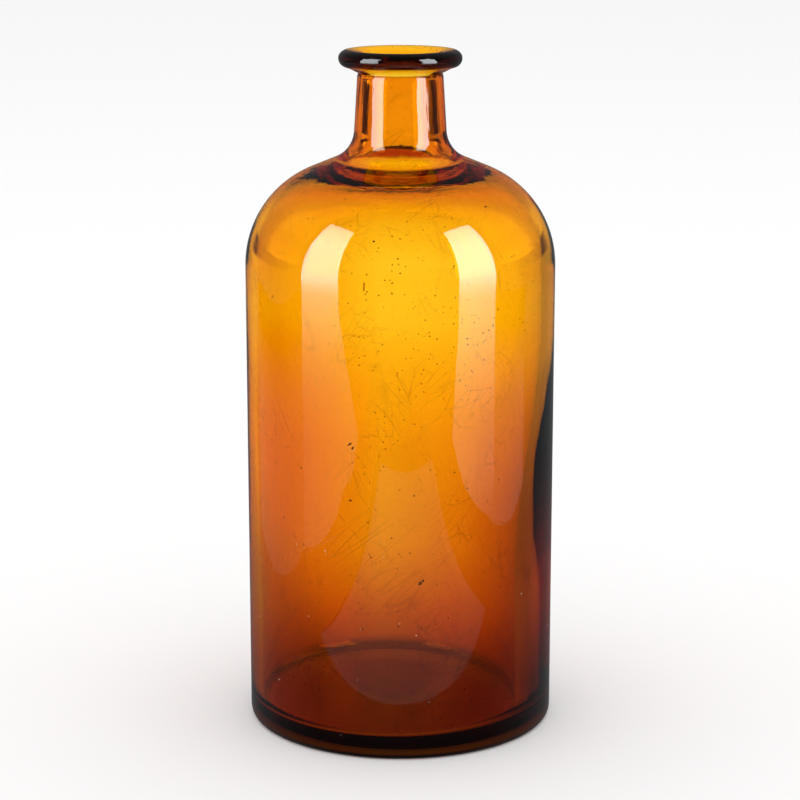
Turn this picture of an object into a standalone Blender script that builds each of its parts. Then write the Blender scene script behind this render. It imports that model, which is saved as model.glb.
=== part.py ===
"""Medicine bottle: a round amber apothecary bottle with an applied, flared lip and an open mouth.

The bottle stands on the XY plane, with its axis on +Z and its origin at the centre of its foot.
Both pieces are turned: a profile in the (radius, height) plane is spun about Z by a Screw modifier.
"""
import math

import bmesh
import bpy
from mathutils import Vector

# Driving dimensions, in metres and degrees
BODY_RADIUS = 0.050
TOTAL_HEIGHT = 0.220
TURN_STEPS = 64
FIT_GAP = 0.0003

# Outer surface of the body
HEEL_WIDTH = 0.0020
HEEL_HEIGHT = 0.0030
SHOULDER_Z = 0.1512
SHOULDER_RADIUS = 0.03345
SHOULDER_SWEEP = 67.4
NECK_RADIUS = 0.01502
NECK_FILLET = 0.0100
NECK_TAPER = 3.15
NECK_EDGE = 0.0004

# Inner surface of the body
WALL = 0.0050
FLOOR_THICKNESS = 0.0045
FLOOR_CORNER = 0.0040
CAVITY_SHOULDER_Z = 0.1525
CAVITY_SHOULDER_RADIUS = 0.0310
BORE_RADIUS = 0.01095
BORE_FILLET = 0.0130
BORE_TAPER = 2.75

# Underside: a flat standing ring around a shallow dome, with one plain raised ring at its centre
STANDING_RING_INNER = 0.0340
PUSH_UP = 0.0020
CENTRE_RING_RADIUS = 0.0065
CENTRE_RING_WIDTH = 0.0016
CENTRE_RING_HEIGHT = 0.0004

# Height at which NECK_RADIUS and BORE_RADIUS are measured, and where the neck meets the lip
NECK_GAUGE_Z = 0.190
NECK_END_Z = 0.2127

# Lip ring
LIP_RADIUS = 0.01974
LIP_WIDEST_Z = 0.2173
LIP_CREST_RADIUS = 0.0166
LIP_UNDERSIDE_RADIUS = 0.0170
LIP_UNDERSIDE_Z = 0.2145


def arc(centre, radii, start, end, steps):
    """Points along part of an ellipse in the (radius, height) plane, both ends included."""
    points = []
    for step in range(steps + 1):
        angle = math.radians(start + (end - start) * step / steps)
        points.append(Vector((centre.x + radii[0] * math.cos(angle),
                              centre.y + radii[1] * math.sin(angle))))
    return points


def facing(angle):
    """Unit vector at an angle above the outward radial direction."""
    return Vector((math.cos(math.radians(angle)), math.sin(math.radians(angle))))


def fillet_centre(point_a, normal_a, point_b, normal_b, radius):
    """Centre of the arc that touches two straight lines, on the side that their normals face."""
    reach_a = normal_a.dot(point_a) + radius
    reach_b = normal_b.dot(point_b) + radius
    spread = normal_a.x * normal_b.y - normal_a.y * normal_b.x
    return Vector(((reach_a * normal_b.y - reach_b * normal_a.y) / spread,
                   (reach_b * normal_a.x - reach_a * normal_b.x) / spread))


def neck_radius_at(gauge_radius, taper, height):
    """Radius of a tapering neck surface at a height."""
    return gauge_radius - math.tan(math.radians(taper)) * (height - NECK_GAUGE_Z)


def shoulder_and_neck(wall_radius, shoulder_z, shoulder_radius, gauge_radius, taper, fillet):
    """One surface from the top of the straight side up to the root of the neck, bottom to top."""
    shoulder = Vector((wall_radius - shoulder_radius, shoulder_z))
    points = arc(shoulder, (shoulder_radius, shoulder_radius), 0, SHOULDER_SWEEP, 9)
    neck_point = Vector((gauge_radius, NECK_GAUGE_Z))
    centre = fillet_centre(points[-1], facing(SHOULDER_SWEEP), neck_point, facing(taper), fillet)
    return points + arc(centre, (fillet, fillet), 180 + SHOULDER_SWEEP, 180 + taper, 6)


def dome(edge_radius, edge_z, rise, inner_radius, steps):
    """Points of a shallow dome from its edge in to inner_radius, both ends included."""
    points = []
    for step in range(steps + 1):
        radius = edge_radius + (inner_radius - edge_radius) * step / steps
        points.append(Vector((radius, edge_z + rise * (1 - (radius / edge_radius) ** 2))))
    return points


def cavity_side():
    """Inside of the body, from the centre of the floor up to the end of the neck."""
    corner = Vector((BODY_RADIUS - WALL - FLOOR_CORNER, FLOOR_THICKNESS + FLOOR_CORNER))
    floor = dome(corner.x, FLOOR_THICKNESS, PUSH_UP, 0.0, 4)[::-1]
    floor_corner = arc(corner, (FLOOR_CORNER, FLOOR_CORNER), -90, 0, 4)[1:]
    shoulder = shoulder_and_neck(BODY_RADIUS - WALL, CAVITY_SHOULDER_Z, CAVITY_SHOULDER_RADIUS,
                                 BORE_RADIUS, BORE_TAPER, BORE_FILLET)
    bore_end = Vector((neck_radius_at(BORE_RADIUS, BORE_TAPER, NECK_END_Z), NECK_END_Z))
    return floor + floor_corner + shoulder + [bore_end]


def outer_side():
    """Outside of the body, from the end of the neck down to the flat of the standing ring."""
    edge_z = NECK_END_Z - 3 * NECK_EDGE
    edge_radius = neck_radius_at(NECK_RADIUS, NECK_TAPER, edge_z)
    neck_end = [Vector((edge_radius - NECK_EDGE, NECK_END_Z)), Vector((edge_radius, edge_z))]
    shoulder = shoulder_and_neck(BODY_RADIUS, SHOULDER_Z, SHOULDER_RADIUS,
                                 NECK_RADIUS, NECK_TAPER, NECK_FILLET)[::-1]
    heel = arc(Vector((BODY_RADIUS - HEEL_WIDTH, HEEL_HEIGHT)), (HEEL_WIDTH, HEEL_HEIGHT), 0, -90, 5)
    return neck_end + shoulder + heel


def underside():
    """Underside inside the standing ring, from the ring's inner edge in to the centre."""
    half_width = CENTRE_RING_WIDTH / 2
    outer = dome(STANDING_RING_INNER, 0.0, PUSH_UP, CENTRE_RING_RADIUS + half_width, 4)
    inner = dome(STANDING_RING_INNER, 0.0, PUSH_UP, CENTRE_RING_RADIUS - half_width, 1)[1:]
    crest = (outer[-1] + inner[0]) / 2 - Vector((0.0, CENTRE_RING_HEIGHT))
    return outer + [crest] + inner + [Vector((0.0, PUSH_UP))]


def lip_profile():
    """Closed section of the lip: the rounded rim, its underside, the seat and the flared mouth."""
    widest = Vector((LIP_CREST_RADIUS, LIP_WIDEST_Z))
    crown = arc(widest, (LIP_RADIUS - widest.x, TOTAL_HEIGHT - widest.y), 90, 0, 5)
    under = Vector((LIP_UNDERSIDE_RADIUS, LIP_WIDEST_Z))
    skirt = arc(under, (LIP_RADIUS - under.x, LIP_WIDEST_Z - LIP_UNDERSIDE_Z), 0, -90, 5)[1:]
    seat_z = NECK_END_Z + FIT_GAP
    seat_outer = Vector((neck_radius_at(NECK_RADIUS, NECK_TAPER, NECK_END_Z) - NECK_EDGE, seat_z))
    seat_inner = neck_radius_at(BORE_RADIUS, BORE_TAPER, seat_z)
    mouth_size = (seat_inner - LIP_CREST_RADIUS, TOTAL_HEIGHT - seat_z)
    mouth = arc(Vector((LIP_CREST_RADIUS, seat_z)), mouth_size, 0, 90, 7)[:-1]
    return crown + skirt + [seat_outer] + mouth


def glass_material(name, colour, roughness):
    """Principled glass in one colour."""
    material = bpy.data.materials.new(name)
    material.use_nodes = True
    shader = material.node_tree.nodes["Principled BSDF"]
    shader.inputs["Base Color"].default_value = (*colour, 1.0)
    shader.inputs["Roughness"].default_value = roughness
    shader.inputs["Metallic"].default_value = 0.0
    shader.inputs["Transmission Weight"].default_value = 1.0
    shader.inputs["IOR"].default_value = 1.52
    material.diffuse_color = (*colour, 1.0)
    return material


def turned(name, profile, closed, material, collection):
    """A solid of revolution about Z from a profile that runs down its outer side."""
    mesh = bpy.data.meshes.new(name)
    outline = bmesh.new()
    rim = [outline.verts.new((point.x, 0.0, point.y)) for point in profile]
    for start, end in zip(rim, rim[1:]):
        outline.edges.new((start, end))
    if closed:
        outline.edges.new((rim[-1], rim[0]))
    outline.to_mesh(mesh)
    outline.free()
    mesh.materials.append(material)
    piece = bpy.data.objects.new(name, mesh)
    collection.objects.link(piece)
    screw = piece.modifiers.new("Turn", "SCREW")
    screw.axis = "Z"
    screw.angle = math.tau
    screw.steps = TURN_STEPS
    screw.render_steps = TURN_STEPS
    screw.use_merge_vertices = True
    screw.merge_threshold = 0.00001
    screw.use_smooth_shade = True
    return piece


def main():
    """Clear the scene, then build the two glass pieces in their own collection."""
    for old in list(bpy.data.objects):
        bpy.data.objects.remove(old, do_unlink=True)
    bottle = bpy.data.collections.new("medicine_bottle")
    bpy.context.scene.collection.children.link(bottle)
    amber = glass_material("amber_body_glass", (0.78, 0.30, 0.02), 0.04)
    dark_amber = glass_material("amber_lip_glass", (0.42, 0.11, 0.01), 0.06)
    turned("bottle_body", cavity_side() + outer_side() + underside(), False, amber, bottle)
    turned("lip_ring", lip_profile(), True, dark_amber, bottle)


main()
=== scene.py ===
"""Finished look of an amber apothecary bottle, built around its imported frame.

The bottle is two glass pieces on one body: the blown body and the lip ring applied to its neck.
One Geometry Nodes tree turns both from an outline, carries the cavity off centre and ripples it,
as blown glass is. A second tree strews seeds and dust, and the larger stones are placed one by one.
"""
import logging
import math
from dataclasses import dataclass, field
from enum import Enum
from typing import Any

import bmesh
import bpy
from mathutils import Matrix, Vector


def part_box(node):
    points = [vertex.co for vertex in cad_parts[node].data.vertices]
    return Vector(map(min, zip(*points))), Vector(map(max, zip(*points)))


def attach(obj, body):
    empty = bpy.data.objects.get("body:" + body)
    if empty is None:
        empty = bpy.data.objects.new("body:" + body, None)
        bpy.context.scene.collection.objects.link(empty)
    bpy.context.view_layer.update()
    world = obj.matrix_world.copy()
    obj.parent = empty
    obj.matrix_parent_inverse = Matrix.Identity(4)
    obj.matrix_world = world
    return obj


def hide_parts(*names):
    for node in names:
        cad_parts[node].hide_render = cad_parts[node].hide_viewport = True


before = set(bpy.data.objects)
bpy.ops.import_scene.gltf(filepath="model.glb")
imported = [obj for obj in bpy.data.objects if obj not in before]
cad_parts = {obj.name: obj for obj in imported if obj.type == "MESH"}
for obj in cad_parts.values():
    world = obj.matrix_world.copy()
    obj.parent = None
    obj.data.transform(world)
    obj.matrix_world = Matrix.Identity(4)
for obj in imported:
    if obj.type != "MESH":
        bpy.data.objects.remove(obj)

Socket = bpy.types.NodeSocket
Tree = bpy.types.NodeTree
Material = bpy.types.Material
Mesh = bpy.types.Mesh
Piece = bpy.types.Object
Pair = tuple[float, float]
Triple = tuple[float, float, float]
Curve = tuple[Pair, ...]

LOG = logging.getLogger("medicine_bottle")
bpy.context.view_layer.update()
BODY = "root"
WHITE = (1.0, 1.0, 1.0, 1.0)
# Black that painted shade is blended towards, at the throat band and the outer heel
PAINTED_SHADE_BLACK = (0.003, 0.0003, 0.0, 1.0)
SOCKET_TYPES = {float: "Float", int: "Int", tuple: "Vector"}

# Extra depth of colour, in millimetres of glass, against height in metres
DEPTH_BY_HEIGHT: Curve = (
    (0.0, 16.0), (0.016, 14.0), (0.03, 8.5), (0.044, 4.6), (0.0635, 3.7), (0.083, 3.8),
    (0.102, 3.4), (0.122, 1.5), (0.141, 0.0), (0.160, 1.3), (0.170, 2.5), (0.177, 6.0),
    (0.182, 7.0), (0.1845, 1.0), (0.186, 1.0), (0.188, 4.0), (0.193, 4.0), (0.213, 5.0))
DEPTH_AT_LEFT: Curve = (
    (0.015, 5.0), (0.083, 5.0), (0.122, 3.6), (0.141, 2.2), (0.16, 3.0), (0.18, 0.0))
# Painted shade: extra millimetres of colour depth that darken the left and right flanks of the neck and
# its root
FLANK_SHADE_DEPTH = 7.0
# What one more millimetre takes from red, green and blue, as an exponent
LOSS_PER_MM = (-0.0215, -0.0892, -0.525)
# Painted shade: heights of a nearly black band painted across the throat
THROAT_SHADE_BAND: Curve = ((0.1788, 0.0), (0.1796, 1.0), (0.1810, 1.0), (0.1817, 0.0))
HEEL_SHADE = 0.75
# Painted shade: the nearly black colour painted on the outside of the lip's rolled rim
RIM_PAINTED_SHADE = (0.010, 0.002, 0.001, 1.0)


class Face(Enum):
    """Which side of the glass an outline point lies on, as the turning tree reads it."""

    SKIN = 0.0
    CAVITY = 1.0


class Mixed(Enum):
    """What a Mix node mixes: its data type, its first input's number and its output's."""

    NUMBER = ("FLOAT", 2, 0)
    VECTOR = ("VECTOR", 4, 1)
    COLOUR = ("RGBA", 6, 2)


class Graph:
    """A node tree under construction."""

    def __init__(self, tree: Tree) -> None:
        """Wraps a tree.

        Args:
            tree: the shader, geometry or world tree that nodes are added to.
        """
        self.tree = tree

    def feed(self, node: bpy.types.Node, inputs: dict[Any, Any]) -> None:
        """Feeds a node's inputs.

        Args:
            node: the node.
            inputs: socket name or index, to a value or to the socket that feeds it.
        """
        for key, value in inputs.items():
            if isinstance(value, Socket):
                self.tree.links.new(value, node.inputs[key])
            else:
                node.inputs[key].default_value = value

    def add(self, kind: str, inputs: dict[Any, Any] | None = None, **settings: Any) -> Any:
        """Adds a node.

        Args:
            kind: the node's type name.
            inputs: what feeds it, as in feed.
            **settings: properties of the node itself.

        Returns:
            The new node's outputs.
        """
        node = self.tree.nodes.new(kind)
        for name, value in settings.items():
            setattr(node, name, value)
        self.feed(node, inputs or {})
        return node.outputs

    def ends(self, **results: Socket) -> Tree:
        """Adds a group's output node.

        Args:
            **results: the group's outputs by name.

        Returns:
            The finished tree.
        """
        self.add("NodeGroupOutput", results)
        return self.tree

    def math(self, operation: str, *values: Any) -> Socket:
        """Adds a Math node.

        Args:
            operation: the node's operation.
            *values: numbers or sockets, in the order of its inputs.

        Returns:
            The result's socket.
        """
        return self.add("ShaderNodeMath", dict(enumerate(values)), operation=operation)[0]

    def times(self, first: Any, *others: Any) -> Socket:
        """Multiplies numbers or sockets together.

        Args:
            first: the first factor.
            *others: the rest.

        Returns:
            The product's socket.
        """
        for other in others:
            first = self.math("MULTIPLY", first, other)
        return first

    def vector(self, operation: str, *values: Any) -> Socket:
        """Adds a Vector Math node.

        Args:
            operation: the node's operation, one that gives a vector.
            *values: vectors or sockets, in the order of its inputs.

        Returns:
            The resulting vector's socket.
        """
        return self.add("ShaderNodeVectorMath", dict(enumerate(values)), operation=operation)[0]

    def scaled(self, vector: Any, factor: Any) -> Socket:
        """A vector times a number."""
        inputs = {"Vector": vector, "Scale": factor}
        return self.add("ShaderNodeVectorMath", inputs, operation="SCALE")[0]

    def length(self, vector: Any) -> Socket:
        """A vector's length."""
        return self.add("ShaderNodeVectorMath", {0: vector}, operation="LENGTH")["Value"]

    def reach(self, place: Any) -> Socket:
        """Distance of a place from the bottle's axis."""
        return self.length(self.vector("MULTIPLY", place, (1.0, 1.0, 0.0)))

    def split(self, vector: Any) -> Any:
        """A vector's three parts."""
        return self.add("ShaderNodeSeparateXYZ", {0: vector})

    def degrees(self, operation: str, *values: Any) -> Socket:
        """An angle in degrees, from a Math node's operation on some values."""
        return self.times(self.math(operation, *values), 180.0 / math.pi)

    def ramp(self, value: Any, low: Any, high: Any, start: float = 0.0, end: float = 1.0,
             smooth: bool = False) -> Socket:
        """Maps a span of values to another, clamped.

        Args:
            value: the value's socket.
            low: value that maps to start.
            high: value that maps to end.
            start: result at low.
            end: result at high.
            smooth: eases the ends in place of a straight line.

        Returns:
            The mapped value's socket.
        """
        inputs = {0: value, 1: low, 2: high, 3: start, 4: end}
        kind = "SMOOTHSTEP" if smooth else "LINEAR"
        return self.add("ShaderNodeMapRange", inputs, interpolation_type=kind)[0]

    def curve(self, value: Any, points: Curve) -> Socket:
        """Follows a curve through given points, held level past its ends.

        Args:
            value: the value's socket.
            points: (value, result) pairs in rising order.

        Returns:
            The result's socket.
        """
        low, high = points[0][0], points[-1][0]
        most = max(result for _, result in points)
        node = self.tree.nodes.new("ShaderNodeValToRGB")
        self.feed(node, {0: self.ramp(value, low, high)})
        stops = node.color_ramp.elements
        while len(stops) < len(points):
            stops.new(1.0)
        for stop, (at, result) in zip(stops, points):
            stop.position = (at - low) / (high - low)
            stop.color = (result / most,) * 3 + (1.0,)
        return self.times(node.outputs[0], most)

    def noise(self, at: Any, scale: Any, detail: float = 2.0) -> Socket:
        """A Noise Texture's value, from 0 to 1."""
        return self.add("ShaderNodeTexNoise", {"Vector": at, "Scale": scale, "Detail": detail})[0]

    def mix(self, what: Mixed, factor: Any, first: Any, second: Any, **settings: Any) -> Socket:
        """Mixes two values by a factor from 0 to 1.

        Args:
            what: the kind of value.
            factor: share of the second.
            first: value at 0.
            second: value at 1.
            **settings: further properties of the node.

        Returns:
            The result's socket.
        """
        data_type, at, result = what.value
        inputs = {0: factor, at: first, at + 1: second}
        return self.add("ShaderNodeMix", inputs, data_type=data_type, **settings)[result]

    def blend(self, factor: Any, first: Any, second: Any) -> Socket:
        """Mixes two colours by a factor from 0 to 1."""
        return self.mix(Mixed.COLOUR, factor, first, second)


def new_group(name: str, kind: str, inputs: dict[str, Any],
              outputs: dict[str, str]) -> tuple[Graph, Any]:
    """Starts a node group with named sockets.

    Args:
        name: the group's name.
        kind: "ShaderNodeTree" or "GeometryNodeTree".
        inputs: socket name to its default, or to its type where it has none.
        outputs: socket name to its type.

    Returns:
        The graph and its inputs' sockets.
    """
    tree = bpy.data.node_groups.new(name, kind)
    for socket, given in inputs.items():
        named = isinstance(given, str)
        socket_type = "NodeSocket" + (given if named else SOCKET_TYPES[type(given)])
        made = tree.interface.new_socket(socket, in_out="INPUT", socket_type=socket_type)
        if not named:
            made.default_value = given
    for socket, given in outputs.items():
        tree.interface.new_socket(socket, in_out="OUTPUT", socket_type="NodeSocket" + given)
    graph = Graph(tree)
    return graph, graph.add("NodeGroupInput")


def new_material(name: str) -> tuple[Material, Graph, bpy.types.Node]:
    """Starts a material.

    Args:
        name: the material's name.

    Returns:
        The material, its graph and its Principled shader.
    """
    material = bpy.data.materials.new(name)
    material.use_nodes = True
    return material, Graph(material.node_tree), material.node_tree.nodes["Principled BSDF"]


def linked(name: str, data: Any) -> Piece:
    """Makes an object in the scene, at the origin.

    Args:
        name: the object's name.
        data: its mesh or camera.

    Returns:
        The object.
    """
    made = bpy.data.objects.new(name, data)
    bpy.context.scene.collection.objects.link(made)
    return made


# ---------------------------------------------------------------- shader groups


def build_waves_group() -> Tree:
    """Slow waves left in blown glass, drawn out down the wall.

    Returns:
        A group that gives a height from 0 to 1.
    """
    graph, given = new_group("glass_waves", "ShaderNodeTree",
                             {"Vector": "Vector", "Across": 60.0, "Along": 14.0},
                             {"Height": "Float"})
    scale = graph.add("ShaderNodeCombineXYZ",
                      {0: given["Across"], 1: given["Across"], 2: given["Along"]})[0]
    stretched = graph.vector("MULTIPLY", given["Vector"], scale)
    return graph.ends(Height=graph.noise(stretched, 1.0, 1.5))


def build_scratch_group() -> Tree:
    """Fine scratches and scuffs from handling, in two crossing directions.

    Returns:
        A group that gives a mask from 0 to 1, sparse and thin.
    """
    graph, given = new_group("handling_scratches", "ShaderNodeTree",
                             {"Vector": "Vector", "Density": 160.0, "Amount": 0.5},
                             {"Mask": "Float"})
    masks = []
    for turn, stretch in ((0.5, 0.10), (-0.9, 0.06)):
        turned = graph.add("ShaderNodeVectorRotate",
                           {"Vector": given["Vector"], "Angle": turn, "Axis": (0.3, 0.9, 0.2)})[0]
        drawn = graph.vector("MULTIPLY", turned, (1.0, 1.0, stretch))
        lines = graph.add("ShaderNodeTexVoronoi", {"Vector": drawn, "Scale": given["Density"]},
                          feature="DISTANCE_TO_EDGE")[0]
        thin = graph.ramp(lines, 0.0, 0.035, 1.0, 0.0)
        patch = graph.noise(given["Vector"], 55.0 + 30.0 * turn, 3.0)
        masks.append(graph.times(thin, graph.ramp(patch, 0.56, 0.70)))
    return graph.ends(Mask=graph.times(graph.math("MAXIMUM", *masks), given["Amount"]))


def build_haze_group() -> Tree:
    """Soft patches where the surface is a little dulled.

    Returns:
        A group that gives a value from 0 to 1.
    """
    graph, given = new_group("surface_haze", "ShaderNodeTree",
                             {"Vector": "Vector", "Scale": 30.0}, {"Value": "Float"})
    broad = graph.noise(given["Vector"], given["Scale"], 4.0)
    return graph.ends(Value=graph.ramp(broad, 0.45, 0.75, smooth=True))


def build_fleck_group() -> Tree:
    """Tiny specks of dirt and pitting, gathered in loose patches.

    Returns:
        A group that gives a mask from 0 to 1.
    """
    graph, given = new_group("fine_flecks", "ShaderNodeTree",
                             {"Vector": "Vector", "Scale": 430.0, "Size": 0.13},
                             {"Mask": "Float"})
    cells = graph.add("ShaderNodeTexVoronoi",
                      {"Vector": given["Vector"], "Scale": given["Scale"]})
    near = graph.math("LESS_THAN", cells["Distance"], given["Size"])
    chance = graph.add("ShaderNodeSeparateColor", {0: cells["Color"]})[0]
    picked = graph.math("GREATER_THAN", chance, 0.60)
    patch = graph.ramp(graph.noise(given["Vector"], 38.0, 4.0), 0.44, 0.60)
    return graph.ends(Mask=graph.times(near, picked, patch))


def build_depth_and_shade_group() -> Tree:
    """Tint of deeper colour low down, towards the left and right and at the throat, with painted shade:
    a nearly black band across the throat, darker neck flanks and a darker outer heel.

    Returns:
        A group that gives a colour to multiply the glass by.
    """
    graph, given = new_group("colour_depth_and_shade", "ShaderNodeTree",
                             {"Vector": "Vector", "Strength": 1.0}, {"Tint": "Color"})
    across, _, rise = graph.split(given["Vector"])
    aside = graph.math("ABSOLUTE", across)
    reach = graph.reach(given["Vector"])
    level = graph.curve(rise, DEPTH_BY_HEIGHT)
    left = graph.times(graph.ramp(across, -0.038, -0.006, 1.0, 0.0),
                       graph.curve(rise, DEPTH_AT_LEFT))
    right = graph.ramp(across, 0.020, 0.038)
    # Painted shade: the neck's left and right flanks, from its root up, are darkened
    flank_shade = graph.times(graph.ramp(aside, 0.0095, 0.0125, 0.0, FLANK_SHADE_DEPTH),
                        graph.ramp(rise, 0.184, 0.188))
    extra = graph.math("ADD", graph.math("ADD", level, left), graph.math("ADD", right, flank_shade))
    extra = graph.times(extra, given["Strength"])
    shares = [graph.math("EXPONENT", graph.times(extra, loss)) for loss in LOSS_PER_MM]
    tint = graph.add("ShaderNodeCombineColor", dict(enumerate(shares)))[0]
    # Painted shade: a nearly black band across the throat, away from its sides
    throat_shade = graph.times(graph.curve(rise, THROAT_SHADE_BAND), graph.ramp(aside, 0.017, 0.026, 1.0, 0.0),
                       graph.ramp(reach, 0.0290, 0.0300, 1.0, 0.0))
    heel = graph.times(graph.ramp(reach, 0.0465, 0.0475),
                       graph.ramp(rise, 0.006, 0.010, HEEL_SHADE, 0.0))
    return graph.ends(Tint=graph.blend(graph.math("MAXIMUM", throat_shade, heel), tint, PAINTED_SHADE_BLACK))


def build_rim_shade_group() -> Tree:
    """Tint of the rolled rim: painted shade, nearly black outside, and clear inside the mouth.

    Returns:
        A group that gives a colour to multiply the glass by.
    """
    graph, given = new_group("rim_painted_shade", "ShaderNodeTree", {"Vector": "Vector"},
                             {"Tint": "Color"})
    rise = graph.split(given["Vector"])[2]
    # Painted shade: the outside of the rolled rim is blended towards nearly black
    rolled = graph.times(graph.ramp(graph.reach(given["Vector"]), 0.0168, 0.0174),
                         graph.ramp(rise, 0.2146, 0.2153))
    return graph.ends(Tint=graph.blend(rolled, WHITE, RIM_PAINTED_SHADE))


@dataclass(frozen=True)
class SharedEffects:
    """Shader groups that every finish draws on."""

    waves: Tree = field(default_factory=build_waves_group)
    scratches: Tree = field(default_factory=build_scratch_group)
    haze: Tree = field(default_factory=build_haze_group)
    flecks: Tree = field(default_factory=build_fleck_group)
    # The depth group also holds painted shade at the throat, the neck's flanks and the heel
    depth: Tree = field(default_factory=build_depth_and_shade_group)
    rim: Tree = field(default_factory=build_rim_shade_group)

    def place(self, graph: Graph, effect: str, vector: Socket) -> Socket:
        """Adds one of the groups to a material.

        Args:
            graph: the material's graph.
            effect: the group's field name.
            vector: the coordinates that it reads.

        Returns:
            The group's output socket.
        """
        return graph.add("ShaderNodeGroup", {"Vector": vector},
                         node_tree=getattr(self, effect), label=effect)[0]


@dataclass(frozen=True)
class AmberGlass:
    """Clear amber glass that darkens with its depth, with painted shade multiplied into its colour."""

    name: str
    density: float
    absorbed: Triple = (0.93, 0.80, 0.0)
    streak: Triple = (0.98, 0.95, 0.90)
    haze: float = 0.02
    scratch: float = 0.22
    groove: float = -0.06
    wave_depth: float = 0.00012
    refraction: float = 1.52
    mark: Triple = (0.12, 0.04, 0.01)
    scratch_mark: float = 0.8
    tint_and_shade: str = "depth"
    entering_only: bool = False
    worked_from: Pair = (0.180, 0.194)
    worked: float = 3.0
    pulled: float = 0.9
    pulled_scale: Triple = (420.0, 420.0, 45.0)
    crinkled: float = 0.2
    crinkle_scale: float = 330.0
    crinkle_span: tuple[float, ...] = (0.170, 0.177, 0.186, 0.190)
    floor_dulled: float = 0.32
    floor_span: tuple[float, ...] = (0.0055, 0.0062, 0.0085, 0.0100)
    floor_reach: Pair = (0.042, 0.046)

    def band(self, graph: Graph, rise: Socket, span: tuple[float, ...], most: float) -> Socket:
        """A value that is 0 outside a span of heights.

        Args:
            graph: the material's graph.
            rise: the height's socket.
            span: where it starts to rise, is full, starts to fall and ends.
            most: the value at its fullest.

        Returns:
            The value's socket.
        """
        return graph.curve(rise, tuple(zip(span, (0.0, most, most, 0.0))))

    def relief(self, graph: Graph, place: Socket, rise: Socket, waves: Socket,
               scratches: Socket) -> Socket:
        """Slow waves, pulled lines in the neck, a crinkled neck root and scratches.

        Args:
            graph: the material's graph.
            place: coordinates on the object.
            rise: the height's socket.
            waves: height of the slow waves.
            scratches: mask of the scratches.

        Returns:
            The resulting normal's socket.
        """
        worked = graph.ramp(rise, *self.worked_from, 1.0, self.worked)
        height = graph.math("MULTIPLY_ADD", scratches, self.groove, graph.times(waves, worked))
        drawn = graph.noise(graph.vector("MULTIPLY", place, self.pulled_scale), 1.0)
        pulled = graph.ramp(rise, *self.worked_from, 0.0, self.pulled)
        height = graph.math("MULTIPLY_ADD", drawn, pulled, height)
        crinkle = self.band(graph, rise, self.crinkle_span, self.crinkled)
        height = graph.math("MULTIPLY_ADD", graph.noise(place, self.crinkle_scale, 1.0), crinkle, height)
        return graph.add("ShaderNodeBump", {"Height": height, "Strength": 1.0,
                                            "Distance": self.wave_depth})[0]

    def material(self, effects: SharedEffects) -> Material:
        """Builds the finish's material.

        Args:
            effects: the shared shader groups.

        Returns:
            The material.
        """
        material, graph, shader = new_material(self.name)
        place = graph.add("ShaderNodeTexCoord")["Object"]
        rise = graph.split(place)[2]
        waves, scratches, haze, flecks, tint = (
            effects.place(graph, effect, place)
            for effect in ("waves", "scratches", "haze", "flecks", self.tint_and_shade))
        colour = graph.blend(graph.ramp(waves, 0.35, 0.7), WHITE, (*self.streak, 1.0))
        marks = graph.math("MAXIMUM", graph.times(scratches, self.scratch_mark), flecks)
        colour = graph.blend(marks, colour, (*self.mark, 1.0))
        if self.entering_only:
            inside = graph.add("ShaderNodeNewGeometry")["Backfacing"]
            tint = graph.blend(inside, tint, WHITE)
        # The tint holds painted shade as well as depth of colour: the throat band, neck flanks and heel,
        # or the lip's nearly black rim
        colour = graph.mix(Mixed.COLOUR, 1.0, colour, tint, blend_type="MULTIPLY")
        dulled = graph.times(haze, self.haze)
        rough = graph.math("MULTIPLY_ADD", scratches, self.scratch, dulled)
        worn = graph.times(self.band(graph, rise, self.floor_span, self.floor_dulled),
                           graph.ramp(graph.reach(place), *self.floor_reach, 1.0, 0.0))
        graph.feed(shader, {
            "Base Color": colour, "Roughness": graph.math("ADD", rough, worn),
            "Normal": self.relief(graph, place, rise, waves, scratches),
            "Transmission Weight": 1.0, "IOR": self.refraction})
        depth = graph.add("ShaderNodeVolumeAbsorption", {"Color": (*self.absorbed, 1.0),
                                                         "Density": self.density})[0]
        graph.feed(graph.tree.nodes["Material Output"], {"Volume": depth})
        return material


# ---------------------------------------------------------------- outlines


@dataclass
class Outline:
    """Points of a turned section in the (radius, height) plane, each with its side."""

    points: list[tuple[float, float, Face]] = field(default_factory=list)

    def add(self, radius: float, height: float, face: Face) -> None:
        """Adds one point."""
        self.points.append((radius, height, face))

    def arc(self, centre: Pair, radii: Pair, start: float, end: float, steps: int,
            face: Face) -> None:
        """Adds points along part of an ellipse, both ends included.

        Args:
            centre: the ellipse's centre, (radius, height).
            radii: its half sizes, (across, up).
            start: first angle, in degrees above the outward direction.
            end: last angle.
            steps: number of stretches.
            face: the side of the glass.
        """
        for step in range(steps + 1):
            angle = math.radians(start + (end - start) * step / steps)
            self.add(centre[0] + radii[0] * math.cos(angle),
                     centre[1] + radii[1] * math.sin(angle), face)

    def line(self, start: Pair, end: Pair, steps: int, face: Face) -> None:
        """Adds the points of a straight stretch, without its two ends.

        Args:
            start: one end, (radius, height).
            end: the other end.
            steps: number of stretches.
            face: the side of the glass.
        """
        for step in range(1, steps):
            share = step / steps
            self.add(start[0] + (end[0] - start[0]) * share,
                     start[1] + (end[1] - start[1]) * share, face)

    def mesh(self, name: str, closed: bool) -> Mesh:
        """Turns the points into an edge loop or chain that the turning tree reads.

        Args:
            name: the mesh's name.
            closed: repeats the first point at the end, for a ring.

        Returns:
            A mesh of edges with a "cavity" value on each point.
        """
        points = self.points + self.points[:1] if closed else self.points
        mesh = bpy.data.meshes.new(name)
        edges = [(index, index + 1) for index in range(len(points) - 1)]
        mesh.from_pydata([(radius, 0.0, height) for radius, height, _ in points], edges, [])
        cavity = mesh.attributes.new("cavity", "FLOAT", "POINT")
        for index, (_, _, face) in enumerate(points):
            cavity.data[index].value = face.value
        return mesh


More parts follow.
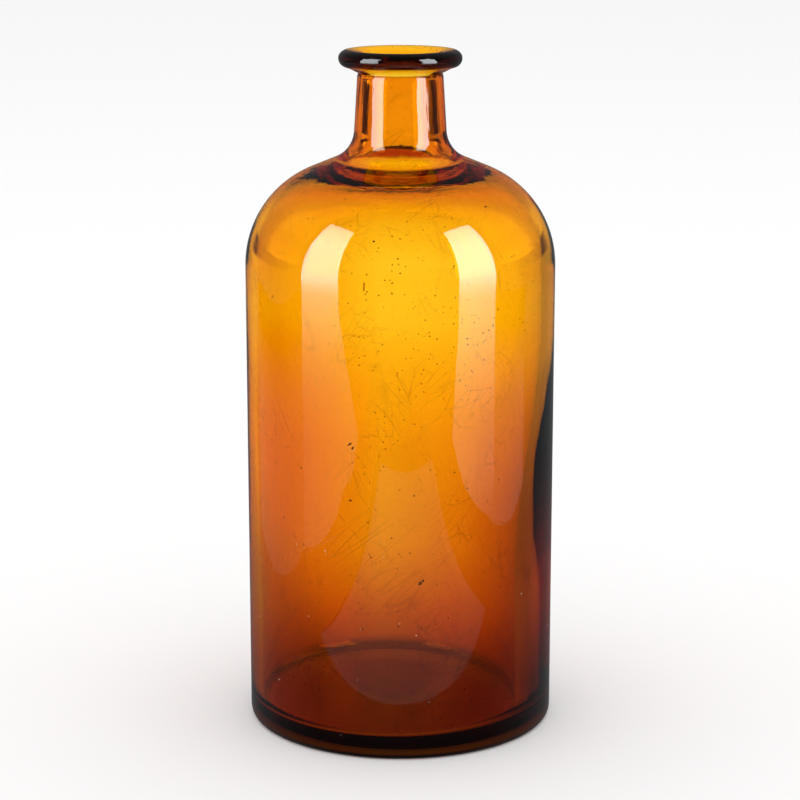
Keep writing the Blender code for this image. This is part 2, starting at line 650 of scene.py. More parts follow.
def fillet_centre(point: Pair, slope: float, gauge: Pair, taper: float, radius: float) -> Pair:
    """Centre of the arc that joins a sloping shoulder to a tapering neck.

    Args:
        point: a point on the shoulder's straight part.
        slope: direction that the shoulder faces, in degrees above outward.
        gauge: a point on the neck's line.
        taper: direction that the neck faces.
        radius: the arc's radius.

    Returns:
        The centre, (radius, height).
    """
    a = (math.cos(math.radians(slope)), math.sin(math.radians(slope)))
    b = (math.cos(math.radians(taper)), math.sin(math.radians(taper)))
    reach_a = a[0] * point[0] + a[1] * point[1] + radius
    reach_b = b[0] * gauge[0] + b[1] * gauge[1] + radius
    spread = a[0] * b[1] - a[1] * b[0]
    return ((reach_a * b[1] - reach_b * a[1]) / spread, (reach_b * a[0] - reach_a * b[0]) / spread)


# ---------------------------------------------------------------- geometry trees


def baked(name: str, base: Mesh, tree: Tree, values: dict[str, Any]) -> Piece:
    """Runs a tree on a base mesh and keeps the result as a plain piece.

    Args:
        name: the piece's name.
        base: the mesh that the tree starts from.
        tree: the Geometry Nodes tree.
        values: the tree's inputs by name.

    Returns:
        An object at the origin that holds the finished mesh.
    """
    source = linked(name + "_source", base)
    modifier = source.modifiers.new("Build", "NODES")
    modifier.node_group = tree
    for item in tree.interface.items_tree:
        if item.item_type == "SOCKET" and item.in_out == "INPUT" and item.name in values:
            modifier[item.identifier] = values[item.name]
    evaluated = source.evaluated_get(bpy.context.evaluated_depsgraph_get())
    mesh = bpy.data.meshes.new_from_object(evaluated)
    mesh.name = name
    bpy.data.objects.remove(source, do_unlink=True)
    return linked(name, mesh)


def face_outwards(mesh: Mesh) -> None:
    """Makes the faces of a closed mesh point outwards."""
    shape = bmesh.new()
    shape.from_mesh(mesh)
    bmesh.ops.recalc_face_normals(shape, faces=shape.faces)
    shape.to_mesh(mesh)
    shape.free()


def build_turning_tree() -> Tree:
    """A tree that turns an outline about Z, with a cavity that wanders as in blown glass.

    Returns:
        The tree.
    """
    graph, given = new_group("turned_glass", "GeometryNodeTree", {
        "Outline": "Geometry", "Segments": 192, "Shift Low": "Vector", "Shift High": "Vector",
        "Squeeze": (1.0, 1.0, 1.0), "Low": 0.0, "High": 1.0, "Cavity Wave": 0.0,
        "Skin Wave": 0.0, "Wave Size": (30.0, 30.0, 18.0), "Glass": "Material"},
        {"Geometry": "Geometry"})
    count = graph.add("GeometryNodeAttributeDomainSize", {"Geometry": given["Outline"]})[0]
    rings = graph.add("FunctionNodeIntegerMath", {0: given["Segments"], 1: 1})[0]
    grid = graph.add("GeometryNodeMeshGrid", {"Vertices X": rings, "Vertices Y": count})["Mesh"]
    index = graph.add("GeometryNodeInputIndex")[0]
    ring, spot = (graph.add("FunctionNodeIntegerMath", {0: index, 1: count}, operation=kind)[0]
                  for kind in ("DIVIDE_FLOOR", "MODULO"))
    mask = graph.add("GeometryNodeInputNamedAttribute", {"Name": "cavity"}, data_type="FLOAT")[0]
    point, cavity = (
        graph.add("GeometryNodeSampleIndex",
                  {"Geometry": given["Outline"], "Value": value, "Index": spot},
                  data_type=kind, domain="POINT")[0]
        for value, kind in ((graph.add("GeometryNodeInputPosition")[0], "FLOAT_VECTOR"),
                            (mask, "FLOAT")))
    turn = graph.times(graph.math("DIVIDE", ring, given["Segments"]), math.tau)
    turned = graph.add("ShaderNodeVectorRotate", {"Vector": point, "Angle": turn},
                       rotation_type="Z_AXIS")[0]
    rise = graph.ramp(graph.split(turned)[2], given["Low"], given["High"], smooth=True)
    shift = graph.mix(Mixed.VECTOR, rise, given["Shift Low"], given["Shift High"])
    outward = graph.vector("NORMALIZE", graph.vector("MULTIPLY", turned, (1.0, 1.0, 0.0)))
    spread = graph.vector("MULTIPLY", turned, given["Wave Size"])
    ripple = graph.math("SUBTRACT", graph.noise(spread, 1.0, 1.0), 0.5)
    depth = graph.mix(Mixed.NUMBER, cavity, given["Skin Wave"], given["Cavity Wave"])
    moved = graph.vector("ADD", turned, graph.scaled(outward, graph.times(ripple, depth)))
    grip = graph.mix(Mixed.VECTOR, graph.times(cavity, graph.math("SUBTRACT", 1.0, rise)),
                     (1.0, 1.0, 1.0), given["Squeeze"])
    moved = graph.vector("MULTIPLY", moved, grip)
    final = graph.vector("ADD", moved, graph.scaled(shift, cavity))
    placed = graph.add("GeometryNodeSetPosition", {"Geometry": grid, "Position": final})[0]
    merged = graph.add("GeometryNodeMergeByDistance", {"Geometry": placed, "Distance": 1e-6})[0]
    smooth = graph.add("GeometryNodeSetShadeSmooth", {"Geometry": merged})[0]
    realized = graph.add("GeometryNodeRealizeInstances", {"Geometry": smooth})[0]
    return graph.ends(Geometry=graph.add(
        "GeometryNodeSetMaterial", {"Geometry": realized, "Material": given["Glass"]})[0])


def build_grain_tree() -> Tree:
    """A tree that strews small uneven grains under or on a surface.

    Returns:
        The tree.
    """
    graph, given = new_group("strewn_grains", "GeometryNodeTree", {
        "Surface": "Geometry", "Density": 1000.0, "Seed": 1, "Smallest": 0.0001,
        "Largest": 0.0004, "Flatness": 1.0, "Sunk": 0.0, "Stuff": "Material"},
        {"Geometry": "Geometry"})
    strewn = graph.add("GeometryNodeDistributePointsOnFaces", {
        "Mesh": given["Surface"], "Density": given["Density"], "Seed": given["Seed"]})
    inward = graph.scaled(strewn["Normal"], graph.times(given["Sunk"], -1.0))
    sunk = graph.add("GeometryNodeSetPosition",
                     {"Geometry": strewn["Points"], "Offset": inward})[0]
    chance = graph.add("FunctionNodeRandomValue", {"Seed": given["Seed"]}, data_type="FLOAT")[1]
    size = graph.mix(Mixed.NUMBER, graph.math("POWER", chance, 3.0), given["Smallest"],
                     given["Largest"])
    flat = graph.times(size, given["Flatness"])
    shape = graph.add("ShaderNodeCombineXYZ", {0: size, 1: size, 2: flat})[0]
    grain = graph.add("GeometryNodeMeshIcoSphere", {"Radius": 1.0, "Subdivisions": 1})["Mesh"]
    spread = graph.add("GeometryNodeInstanceOnPoints", {
        "Points": sunk, "Instance": grain, "Rotation": strewn["Rotation"], "Scale": shape})[0]
    realized = graph.add("GeometryNodeRealizeInstances", {"Geometry": spread})[0]
    at = graph.add("GeometryNodeInputPosition")[0]
    uneven = graph.add("ShaderNodeTexNoise", {"Vector": at, "Scale": 2600.0})["Color"]
    nudge = graph.scaled(graph.vector("SUBTRACT", uneven, (0.5, 0.5, 0.5)),
                         graph.times(given["Smallest"], 0.8))
    rough = graph.add("GeometryNodeSetPosition", {"Geometry": realized, "Offset": nudge})[0]
    return graph.ends(Geometry=graph.add(
        "GeometryNodeSetMaterial", {"Geometry": rough, "Material": given["Stuff"]})[0])


# ---------------------------------------------------------------- the bottle


@dataclass(frozen=True)
class BodySteps:
    """Number of stretches that each part of the body's outline is drawn with."""

    floor: int = 14
    corner: int = 10
    side: int = 56
    shoulder: int = 28
    slope: int = 6
    throat: int = 10
    root: int = 18
    neck: int = 10
    neck_end: int = 4
    heel: int = 10
    foot: int = 4
    dome: int = 40
    carrier_rows: int = 40
    carrier_turns: int = 72


@dataclass
class BottleBody:
    """The blown body: foot, wall, shoulder and neck."""

    radius: float
    height: float
    heel: Pair = (0.0020, 0.0030)
    shoulder_z: float = 0.1512
    shoulder_radius: float = 0.03345
    slope: float = 67.4
    neck_gauge: Pair = (0.01502, 0.190)
    neck_taper: float = 3.15
    neck_fillet: float = 0.0100
    neck_edge: Pair = (0.0006, 0.0018)
    wall_low: float = 0.0040
    wall_high: float = 0.0036
    wall_from: float = 0.060
    wall_to: float = 0.140
    cavity_top: float = 0.1530
    cavity_shoulder: float = 0.0270
    cavity_slope: float = 74.0
    throat: Triple = (0.0191, 0.0049, 42.0)
    floor: float = 0.0062
    floor_corner: float = 0.0040
    push_up: float = 0.0020
    standing_ring: float = 0.0340
    centre_ring: float = 0.0065
    centre_bead: Pair = (0.0004, 0.0009)
    bore_gauge: Pair = (0.01095, 0.190)
    bore_taper: float = 2.75
    bore_fillet: float = 0.0108
    shift_low: Triple = (-0.0025, 0.0, 0.0)
    shift_high: Triple = (-0.0002, 0.0, 0.0)
    squeeze: Triple = (0.958, 1.0, 1.0)
    shifted_between: Pair = (0.048, 0.131)
    cavity_wave: float = 0.0004
    skin_wave: float = 0.00010
    wave_size: Triple = (26.0, 26.0, 14.0)
    segments: int = 192
    steps: BodySteps = BodySteps()

    def wall(self, height: float) -> float:
        """Thickness of the wall at a height, before the cavity is shifted."""
        share = min(max((height - self.wall_from) / (self.wall_to - self.wall_from), 0.0), 1.0)
        eased = share * share * (3.0 - 2.0 * share)
        return self.wall_low + (self.wall_high - self.wall_low) * eased

    def neck_at(self, gauge: Pair, taper: float, height: float) -> float:
        """Radius of the neck's outside or bore at a height."""
        return gauge[0] - math.tan(math.radians(taper)) * (height - gauge[1])

    def skin_radius(self, height: float) -> float:
        """Radius of the outside at a height on the straight side or the shoulder."""
        above = max(height - self.shoulder_z, 0.0)
        across = math.sqrt(self.shoulder_radius ** 2 - above ** 2)
        return self.radius - self.shoulder_radius + across

    def shoulder(self, outline: Outline, side: Triple, slope: float, face: Face) -> None:
        """Adds the arc that turns in from the straight side.

        Args:
            outline: the outline to add to.
            side: radius of the straight side, height of its top, and the arc's radius.
            slope: how far the arc turns over, in degrees.
            face: the side of the glass.
        """
        wall_radius, top, arc_radius = side
        outline.arc((wall_radius - arc_radius, top), (arc_radius, arc_radius), 0, slope,
                    self.steps.shoulder, face)

    def root(self, outline: Outline, slope: float, neck: Pair, taper: float, fillet: float,
             face: Face) -> None:
        """Adds the arc that turns up into the neck.

        Args:
            outline: the outline to add to, which ends on the slope.
            slope: direction that the slope faces, in degrees above outward.
            neck: a point on the neck's line.
            taper: the neck's taper in degrees.
            fillet: the arc's radius.
            face: the side of the glass.
        """
        centre = fillet_centre(outline.points[-1][:2], slope, neck, taper, fillet)
        outline.arc(centre, (fillet, fillet), 180 + slope, 180 + taper, self.steps.root, face)

    def ceiling(self, outline: Outline) -> None:
        """Adds the inside of the shoulder, which thickens towards the throat."""
        side = (self.radius - self.wall_high, self.cavity_top, self.cavity_shoulder)
        self.shoulder(outline, side, self.cavity_slope, Face.CAVITY)
        start = outline.points[-1][:2]
        radius, turn, slope = self.throat
        lean = math.radians(self.cavity_slope)
        end = (radius, start[1] + (start[0] - radius) / math.tan(lean))
        outline.line(start, end, self.steps.slope, Face.CAVITY)
        centre = (end[0] + turn * math.cos(lean), end[1] + turn * math.sin(lean))
        outline.arc(centre, (turn, turn), 180 + self.cavity_slope, 180 + slope,
                    self.steps.throat, Face.CAVITY)
        self.root(outline, slope, self.bore_gauge, self.bore_taper, self.bore_fillet, Face.CAVITY)

    def cavity(self, shape: Outline) -> None:
        """Adds the inside, from the centre of the floor up to the neck's end."""
        corner = (self.radius - self.wall_low - self.floor_corner, self.floor + self.floor_corner)
        for step in range(self.steps.floor):
            radius = corner[0] * step / self.steps.floor
            rise = self.push_up * (1 - (radius / corner[0]) ** 2)
            shape.add(radius, self.floor + rise, Face.CAVITY)
        shape.arc(corner, (self.floor_corner, self.floor_corner), -90, 0, self.steps.corner,
                  Face.CAVITY)
        for step in range(1, self.steps.side):
            height = corner[1] + (self.cavity_top - corner[1]) * step / self.steps.side
            shape.add(self.radius - self.wall(height), height, Face.CAVITY)
        self.ceiling(shape)
        bore = self.neck_at(self.bore_gauge, self.bore_taper, self.height)
        shape.line(shape.points[-1][:2], (bore, self.height), self.steps.neck, Face.CAVITY)
        shape.add(bore, self.height, Face.SKIN)

    def skin(self, shape: Outline) -> None:
        """Adds the outside, from the neck's end down to the heel."""
        top = Outline()
        self.shoulder(top, (self.radius, self.shoulder_z, self.shoulder_radius), self.slope,
                      Face.SKIN)
        self.root(top, self.slope, self.neck_gauge, self.neck_taper, self.neck_fillet, Face.SKIN)
        rim = self.neck_at(self.neck_gauge, self.neck_taper, self.height)
        width, drop = self.neck_edge
        shape.add(rim - width, self.height, Face.SKIN)
        shape.arc((rim - width, self.height - drop), self.neck_edge, 80, 0, self.steps.neck_end,
                  Face.SKIN)
        shape.line((rim, self.height - drop), top.points[-1][:2], self.steps.neck, Face.SKIN)
        shape.points += top.points[::-1]
        shape.line((self.radius, self.shoulder_z), (self.radius, self.heel[1]), self.steps.side,
                   Face.SKIN)
        shape.arc((self.radius - self.heel[0], self.heel[1]), self.heel, 0, -90, self.steps.heel,
                  Face.SKIN)

    def underside(self, shape: Outline) -> None:
        """Adds the standing ring's flat and the dome inside it, with its plain centre ring."""
        shape.line((self.radius - self.heel[0], 0.0), (self.standing_ring, 0.0), self.steps.foot,
                   Face.SKIN)
        depth, width = self.centre_bead
        for step in range(self.steps.dome + 1):
            radius = self.standing_ring * (1 - step / self.steps.dome)
            dome = self.push_up * (1 - (radius / self.standing_ring) ** 2)
            bead = depth * math.exp(-((radius - self.centre_ring) / width) ** 2)
            shape.add(radius, dome - bead, Face.SKIN)

    def carrier(self, low: float, high: float) -> Mesh:
        """An open skin of the body's outside, for strewing grains on.

        Args:
            low: height of its lower edge.
            high: height of its upper edge.

        Returns:
            The skin's mesh.
        """
        places, faces = [], []
        rows, turns = self.steps.carrier_rows, self.steps.carrier_turns
        for row in range(rows + 1):
            height = low + (high - low) * row / rows
            radius = self.skin_radius(height)
            for turn in range(turns):
                angle = math.tau * turn / turns
                places.append((radius * math.cos(angle), radius * math.sin(angle), height))
                if row < rows:
                    start, following = row * turns, (turn + 1) % turns
                    faces.append((start + turn, start + following, start + turns + following,
                                  start + turns + turn))
        mesh = bpy.data.meshes.new("skin_carrier")
        mesh.from_pydata(places, [], faces)
        return mesh

    def build(self, tree: Tree, glass: Material) -> Piece:
        """Turns the body.

        Args:
            tree: the turning tree.
            glass: its material.

        Returns:
            The finished piece.
        """
        shape = Outline()
        self.cavity(shape)
        self.skin(shape)
        self.underside(shape)
        piece = baked("glass_body", shape.mesh("body_outline", closed=False), tree, {
            "Segments": self.segments, "Shift Low": self.shift_low,
            "Shift High": self.shift_high, "Squeeze": self.squeeze,
            "Low": self.shifted_between[0], "High": self.shifted_between[1],
            "Cavity Wave": self.cavity_wave, "Skin Wave": self.skin_wave,
            "Wave Size": self.wave_size, "Glass": glass})
        face_outwards(piece.data)
        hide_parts("bottle_body")
        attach(piece, BODY)
        return piece


@dataclass
class LipRing:
    """The applied lip: a thick rounded rim around a flared mouth."""

    radius: float
    bottom: float
    top: float
    seat: float = 0.01335
    bore: float = 0.00985
    widest: float = 0.2173
    crest: float = 0.0166
    underside: Pair = (0.0170, 0.2145)
    joint: float = 0.0004
    skin_wave: float = 0.00012
    wave_size: Triple = (90.0, 90.0, 60.0)
    segments: int = 160
    crown_steps: int = 16
    skirt_steps: int = 14
    seat_steps: int = 6
    mouth_steps: int = 20

    def outline(self) -> Outline:
        """Draws the closed section, down the outside and up the mouth.

        Returns:
            The section.
        """
        shape = Outline()
        crown = (self.radius - self.crest, self.top - self.widest)
        shape.arc((self.crest, self.widest), crown, 90, 0, self.crown_steps, Face.SKIN)
        skirt = (self.radius - self.underside[0], self.widest - self.underside[1])
        shape.arc((self.underside[0], self.widest), skirt, -6, -90, self.skirt_steps, Face.SKIN)
        seat = (self.seat, self.bottom - self.joint)
        shape.line(self.underside, seat, self.seat_steps, Face.SKIN)
        shape.add(*seat, Face.SKIN)
        mouth = (self.bore - self.crest, self.top - seat[1])
        shape.arc((self.crest, seat[1]), mouth, 0, 84, self.mouth_steps, Face.SKIN)
        return shape

    def build(self, tree: Tree, glass: Material) -> Piece:
        """Turns the lip.

        Args:
            tree: the turning tree.
            glass: its material.

        Returns:
            The finished piece.
        """
        piece = baked("glass_lip", self.outline().mesh("lip_outline", closed=True), tree, {
            "Segments": self.segments, "Skin Wave": self.skin_wave,
            "Wave Size": self.wave_size, "Glass": glass})
        face_outwards(piece.data)
        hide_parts("lip_ring")
        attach(piece, BODY)
        return piece


@dataclass(frozen=True)
class GrainFinish:
    """An opaque grain: unmelted sand in the glass, or dust on it."""

    name: str
    dark: Triple
    light: Triple
    roughness: float

    def material(self) -> Material:
        """Builds the finish's material, uneven from grain to grain.

        Returns:
            The material.
        """
        material, graph, shader = new_material(self.name)
        place = graph.add("ShaderNodeTexCoord")["Object"]
        tone = graph.ramp(graph.noise(place, 900.0), 0.35, 0.65)
        rough = graph.ramp(graph.noise(place, 1500.0, 1.0), 0.3, 0.7, self.roughness, 1.0)
        colour = graph.blend(tone, (*self.dark, 1.0), (*self.light, 1.0))
        graph.feed(shader, {"Base Color": colour, "Roughness": rough})
        return material


@dataclass(frozen=True)
class Scatter:
    """One strewing of fine grains: its span of heights, number, sizes, flatness and depth."""

    name: str
    span: Pair
    density: float
    seed: int
    sizes: Pair
    flatness: float
    sunk: float


@dataclass(frozen=True)
class Stone:
    """One larger speck in the wall: where it lies, its half sizes across and up, and its lean."""

    azimuth: float
    height: float
    across: float
    up: float
    lean: float = 0.0


@dataclass
class Inclusions:
    """What is caught in the glass and what has settled on it."""

    body: BottleBody
    depth: float = 0.0011
    unevenness: float = 0.35
    seeds: Scatter = Scatter("glass_seeds", (0.012, 0.176), 3600.0, 11, (0.00010, 0.00030),
                             0.8, 0.0011)
    dust: Scatter = Scatter("surface_dust", (0.006, 0.075), 4200.0, 5, (0.00007, 0.00022),
                            0.45, -0.00001)
    stones: tuple[Stone, ...] = (
        Stone(-18.6, 0.1026, 0.00085, 0.00028, -35.0), Stone(-17.4, 0.1015, 0.00030, 0.00050, 20.0),
        Stone(-18.5, 0.0847, 0.00050, 0.00026, 15.0), Stone(7.2, 0.0584, 0.00060, 0.00045, -30.0),
        Stone(8.2, 0.0592, 0.00030, 0.00045, 25.0), Stone(-3.1, 0.0732, 0.00030, 0.00022),
        Stone(-10.7, 0.0668, 0.00028, 0.00022), Stone(-13.9, 0.0431, 0.00034, 0.00026, 40.0),
        Stone(-10.1, 0.1657, 0.00034, 0.00030), Stone(41.0, 0.1740, 0.00040, 0.00028, 10.0),
        Stone(-39.0, 0.0930, 0.00026, 0.00024), Stone(25.0, 0.0880, 0.00030, 0.00024),
        Stone(150.0, 0.1180, 0.00045, 0.00030, 20.0), Stone(-120.0, 0.0600, 0.00050, 0.00034))

    def strewn(self, scatter: Scatter, tree: Tree, stuff: Material) -> Piece:
        """Strews fine grains through the wall or over the skin.

        Args:
            scatter: which grains.
            tree: the grain tree.
            stuff: the grains' material.

        Returns:
            The finished piece.
        """
        return self.settled(baked(scatter.name, self.body.carrier(*scatter.span), tree, {
            "Density": scatter.density, "Seed": scatter.seed, "Smallest": scatter.sizes[0],
            "Largest": scatter.sizes[1], "Flatness": scatter.flatness, "Sunk": scatter.sunk,
            "Stuff": stuff}))

    def specks(self, stuff: Material) -> Piece:
        """Places the larger stones one by one.

        Args:
            stuff: the stones' material.

        Returns:
            The finished piece.
        """
        shape = bmesh.new()
        for stone in self.stones:
            turn = math.radians(stone.azimuth)
            radius = self.body.skin_radius(stone.height) - self.depth
            place = Vector((radius * math.sin(turn), -radius * math.cos(turn), stone.height))
            size = (stone.across, min(stone.across, stone.up), stone.up, 1.0)
            lies = (Matrix.Translation(place) @ Matrix.Rotation(turn, 4, "Z")
                    @ Matrix.Rotation(math.radians(stone.lean), 4, "Y") @ Matrix.Diagonal(size))
            made = bmesh.ops.create_icosphere(shape, subdivisions=2, radius=1.0)
            for vertex in made["verts"]:
                wave = math.sin(5.0 * vertex.co.x + 7.0 * vertex.co.z + stone.azimuth)
                vertex.co = lies @ (vertex.co * (1.0 + self.unevenness * wave))
        mesh = bpy.data.meshes.new("glass_stones")
        shape.to_mesh(mesh)
        shape.free()
        mesh.materials.append(stuff)
        return self.settled(linked("glass_stones", mesh))

    def settled(self, piece: Piece) -> Piece:
        """Smooths a piece and attaches it to the bottle."""
        piece.data.shade_smooth()
        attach(piece, BODY)
        return piece


# ---------------------------------------------------------------- the studio


@dataclass
class SoftPanel:
    """A tall soft light beside the bottle, given by its corners and its glow up its height."""

    name: str
    corners: Curve
    glow: Curve
    distance: float = 1.0
    colour: Triple = (0.93, 0.97, 1.0)

    def places(self) -> list[Triple]:
        """Corners in space, from azimuths in degrees from the front and heights."""
        turns = [(math.radians(azimuth), height) for azimuth, height in self.corners]
        return [(math.sin(turn) * self.distance, -math.cos(turn) * self.distance, height)
                for turn, height in turns]

    def build(self) -> None:
        """Makes the panel, which only glass sees."""
        mesh = bpy.data.meshes.new(self.name)
        places = self.places()
        mesh.from_pydata(places, [], [tuple(range(len(places)))])
        material, graph, shader = new_material(self.name)
        graph.tree.nodes.remove(shader)
        height = graph.split(graph.add("ShaderNodeTexCoord")["Object"])[2]
        light = graph.add("ShaderNodeEmission", {"Strength": graph.curve(height, self.glow),
                                                 "Color": (*self.colour, 1.0)})[0]
        graph.feed(graph.tree.nodes["Material Output"], {"Surface": light})
        mesh.materials.append(material)
        panel = linked(self.name, mesh)
        panel.visible_camera = False
        panel.visible_diffuse = False
        panel.visible_shadow = False


@dataclass
class TableCard(SoftPanel):
    """A pale card on the table in front of the bottle, its corners given across and away."""

    def places(self) -> list[Triple]:
        """Corners in space, just above the table."""
        return [(across, -away, 0.0004) for across, away in self.corners]


@dataclass
class Studio:
    """Floor, surroundings, soft panels and camera."""

    floor_size: float = 14.0
    floor_shade: float = 0.90
    dim_behind: float = 0.13
    dim_front: float = 0.05
    plain: float = 1.2
    lamp: float = 1.13
    warm: Triple = (1.0, 0.985, 0.96)
    cool: Triple = (0.93, 0.97, 1.0)
    camera_place: Triple = (-0.0001, -0.7847, 0.2871)
    camera_pitch: float = 13.0
    lens: float = 110.7
    bounces: int = 28
    inner_reflections: int = 11
    glass_crossings: int = 20
    # Glow against height or azimuth in degrees, and of the table against distance in metres
    backdrop: Curve = (
        (-24.0, 1.42), (0.0, 1.42), (8.0, 1.4), (12.0, 1.0), (18.0, 0.9), (28.0, 1.25),
        (50.0, 1.0), (90.0, 0.9))
    around: Curve = (
        (-180.0, 0.5), (-100.0, 0.5), (-93.0, 2.6), (-62.0, 2.6), (-52.0, 0.3), (-40.0, 0.3),
        (-32.0, 1.0), (32.0, 1.0), (40.0, 0.3), (52.0, 0.3), (62.0, 2.6), (93.0, 2.6),
        (100.0, 0.5), (180.0, 0.5))
    table: Curve = (
        (0.0, 0.004), (0.012, 0.01), (0.022, 0.03), (0.034, 0.09), (0.05, 0.44), (0.08, 0.68),
        (0.13, 1.06), (0.2, 1.24), (0.3, 1.38), (0.42, 1.47), (0.57, 1.45), (1.07, 1.42),
        (7.0, 1.42))
    near_lobe: Curve = (
        (-180.0, 1.0), (-100.0, 0.9), (-60.0, 0.55), (-40.0, 0.62), (-26.0, 0.7), (-12.0, 1.0),
        (16.0, 1.05), (30.0, 0.9), (43.0, 0.7), (56.0, 0.5), (80.0, 0.5), (100.0, 0.9),
        (180.0, 1.0))
    middle_lobe: Curve = (
        (-180.0, 1.0), (-90.0, 1.1), (-30.0, 1.1), (-16.0, 0.95), (-8.0, 1.0), (12.0, 1.0),
        (16.0, 0.86), (26.0, 0.8), (36.0, 0.55), (50.0, 0.5), (90.0, 0.6), (180.0, 1.0))
    far_lobe: Curve = (
        (-180.0, 0.7), (-92.0, 0.7), (-80.0, 0.03), (-40.0, 0.03), (-33.0, 0.2), (-27.0, 1.0),
        (26.0, 1.0), (32.0, 0.2), (39.0, 0.03), (80.0, 0.03), (92.0, 0.7), (180.0, 0.7))
    panels: tuple[SoftPanel, ...] = (
        SoftPanel("panel_left", (
            (-75.0, -0.215), (-71.0, -0.215), (-57.0, -0.2025), (-47.0, -0.19), (-42.0, -0.171),
            (-34.0, -0.155), (-30.0, -0.13), (-44.7, -0.04), (-44.7, 1.25), (-75.0, 1.25)), (
            (-0.215, 0.45), (-0.145, 0.5), (-0.11, 0.56), (-0.071, 0.85), (-0.042, 1.9),
            (0.0, 5.0), (0.1, 8.0), (0.7, 9.0), (1.25, 6.0))),
        SoftPanel("panel_right", (
            (72.3, -0.197), (66.0, -0.188), (46.4, -0.163), (37.8, -0.13), (42.4, -0.05),
            (42.4, 1.25), (72.3, 1.25)), (
            (-0.2, 0.3), (-0.17, 0.7), (-0.145, 1.0), (-0.11, 1.0), (-0.071, 2.0),
            (-0.042, 3.0), (0.0, 6.0), (0.1, 8.0), (0.25, 10.0), (0.7, 10.0), (1.25, 7.0))),
        SoftPanel("wing_left", (
            (-127.0, -0.205), (-75.2, -0.215), (-75.2, -0.02), (-127.0, -0.02)), (
            (-0.215, 0.28), (-0.1, 0.28), (-0.05, 0.0))),
        TableCard("front_card", ((-0.10, 0.41), (0.165, 0.40), (0.165, 0.10), (-0.13, 0.10)),
                  ((0.0, 0.32), (0.01, 0.32))),
        SoftPanel("wing_right", (
            (72.5, -0.197), (90.0, -0.195), (102.0, -0.17), (102.0, -0.02), (72.5, -0.02)), (
            (-0.2, 0.5), (-0.1, 0.4), (-0.05, 0.0))))

    def rays(self, graph: Graph) -> tuple[Socket, Socket]:
        """Tells the camera's view from the glass's.

        Args:
            graph: the floor's or the world's graph.

        Returns:
            Masks of the rays that see things plainly and of those that come through glass.
        """
        path = graph.add("ShaderNodeLightPath")
        plainly = graph.math("MAXIMUM", path["Is Camera Ray"], path["Is Diffuse Ray"])
        return plainly, path["Is Transmission Ray"]

    def floor(self) -> None:
        """Lays a plain pale floor, which reflections don't show."""
        mesh = bpy.data.meshes.new("floor")
        half = self.floor_size / 2
        mesh.from_pydata([(-half, -half, 0.0), (half, -half, 0.0), (half, half, 0.0),
                          (-half, half, 0.0)], [], [(0, 1, 2, 3)])
        mesh.materials.append(self.floor_material())
        floor = linked("floor", mesh)
        floor.visible_glossy = False

    def floor_material(self) -> Material:
        """Pale to the eye; through glass, a table lit from behind the bottle.

        Returns:
            The material.
        """
        material, graph, pale = new_material("pale_floor")
        graph.feed(pale, {"Base Color": (self.floor_shade,) * 3 + (1.0,), "Roughness": 0.9,
                          "Specular IOR Level": 0.1})
        place = graph.add("ShaderNodeTexCoord")["Object"]
        across, behind, _ = graph.split(place)
        away = graph.length(place)
        side = graph.degrees("ARCTAN2", across, behind)
        lobe = graph.mix(Mixed.NUMBER, graph.ramp(away, 0.20, 0.36),
                         graph.curve(side, self.near_lobe), graph.curve(side, self.middle_lobe))
        lobe = graph.mix(Mixed.NUMBER, graph.ramp(away, 0.85, 1.05), lobe,
                         graph.curve(side, self.far_lobe))
        lit = graph.times(graph.curve(away, self.table), lobe, self.lamp)
        through = graph.add("ShaderNodeEmission",
                            {"Color": (*self.warm, 1.0), "Strength": lit})[0]
        plainly, _ = self.rays(graph)
        mixed = graph.add("ShaderNodeMixShader", {0: plainly, 1: through, 2: pale.outputs[0]})[0]
        graph.feed(graph.tree.nodes["Material Output"], {"Surface": mixed})
        material.cycles.emission_sampling = "NONE"
        return material

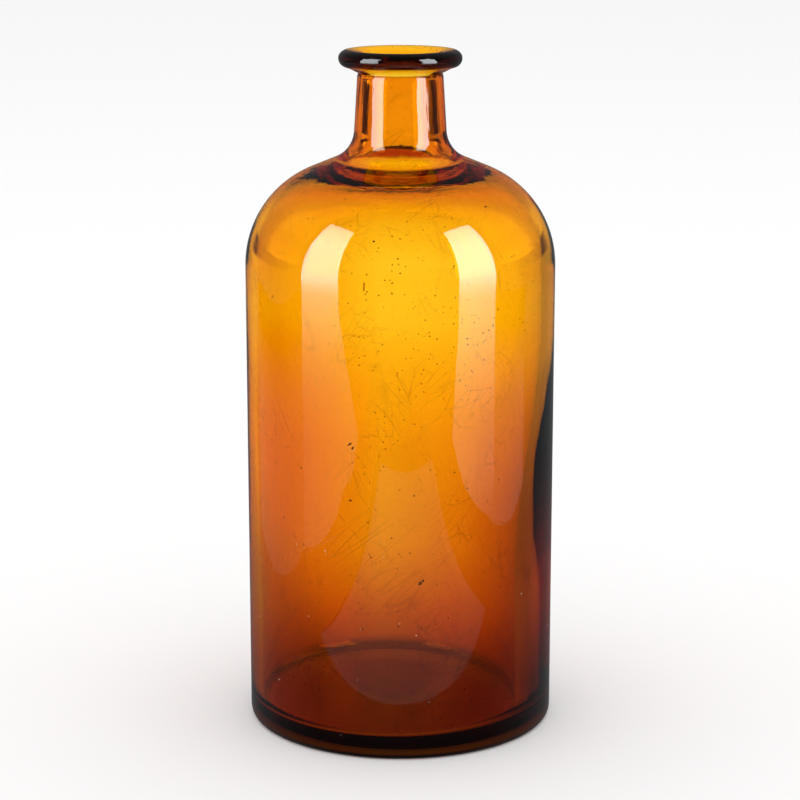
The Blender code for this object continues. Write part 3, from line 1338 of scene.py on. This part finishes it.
    def surroundings(self) -> None:
        """Sets the world: plain and pale to the eye, darker towards the ground through glass."""
        world = bpy.data.worlds.new("studio")
        bpy.context.scene.world = world
        world.use_nodes = True
        graph = Graph(world.node_tree)
        graph.tree.nodes.clear()
        way = graph.add("ShaderNodeTexCoord")["Generated"]
        across, behind, up = graph.split(graph.vector("NORMALIZE", way))
        rise = graph.degrees("ARCSINE", up)
        side = graph.degrees("ARCTAN2", across, behind)
        aside = graph.math("ABSOLUTE", side)
        tall = graph.times(graph.curve(rise, self.backdrop), self.lamp)
        high = graph.times(graph.ramp(aside, 88.0, 96.0), graph.ramp(rise, 35.0, 45.0, 0.0, 0.93))
        lobe = graph.times(graph.curve(side, self.around), graph.math("SUBTRACT", 1.0, high))
        dim = graph.ramp(aside, 60.0, 115.0, self.dim_behind, self.dim_front)
        through, mirrored, plain = (
            graph.add("ShaderNodeBackground", {"Color": colour, "Strength": strength})[0]
            for colour, strength in (((*self.warm, 1.0), graph.times(tall, lobe)),
                                     ((*self.cool, 1.0), dim), (WHITE, self.plain)))
        plainly, crossing = self.rays(graph)
        glass_sees = graph.add("ShaderNodeMixShader", {0: crossing, 1: mirrored, 2: through})[0]
        mixed = graph.add("ShaderNodeMixShader", {0: plainly, 1: glass_sees, 2: plain})[0]
        graph.add("ShaderNodeOutputWorld", {"Surface": mixed})

    def camera(self) -> None:
        """Stands the camera in front of the bottle, looking a little down."""
        data = bpy.data.cameras.new("camera")
        data.lens = self.lens
        data.sensor_width = 36.0
        camera = linked("camera", data)
        camera.location = self.camera_place
        camera.rotation_euler = (math.radians(90.0 - self.camera_pitch), 0.0, 0.0)
        bpy.context.scene.camera = camera

    def build(self) -> None:
        """Sets up everything that isn't part of the bottle."""
        self.camera()
        self.floor()
        self.surroundings()
        for panel in self.panels:
            panel.build()
        bpy.context.scene.view_settings.view_transform = "Standard"
        bpy.context.scene.cycles.max_bounces = self.bounces
        bpy.context.scene.cycles.glossy_bounces = self.inner_reflections
        bpy.context.scene.cycles.transmission_bounces = self.glass_crossings


def main() -> None:
    """Builds the studio and the bottle, piece by piece."""
    logging.basicConfig(level=logging.INFO, format="%(name)s: %(message)s")
    Studio().build()
    LOG.info("studio ready")
    effects = SharedEffects()
    turning = build_turning_tree()
    grains = build_grain_tree()
    glass = AmberGlass("amber_body_glass", density=600.0).material(effects)
    # The lip's tint paints its rolled rim nearly black: painted shade
    lip_glass = AmberGlass("amber_lip_glass", density=800.0, haze=0.01, tint_and_shade="rim",
                           entering_only=True).material(effects)
    sand = GrainFinish("unmelted_sand", (0.035, 0.008, 0.002), (0.12, 0.035, 0.008), 0.5).material()
    dust = GrainFinish("settled_dust", (0.42, 0.36, 0.30), (0.85, 0.80, 0.72), 0.8).material()
    _, body_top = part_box("bottle_body")
    bottle = BottleBody(radius=body_top[0], height=body_top[2])
    lip_low, lip_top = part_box("lip_ring")
    lip = LipRing(radius=lip_top[0], bottom=lip_low[2], top=lip_top[2])
    inclusions = Inclusions(bottle)
    for piece in (bottle.build(turning, glass), lip.build(turning, lip_glass),
                  inclusions.strewn(inclusions.seeds, grains, sand), inclusions.specks(sand),
                  inclusions.strewn(inclusions.dust, grains, dust)):
        LOG.info("%s: %d faces", piece.name, len(piece.data.polygons))


if __name__ == "__main__":
    main()
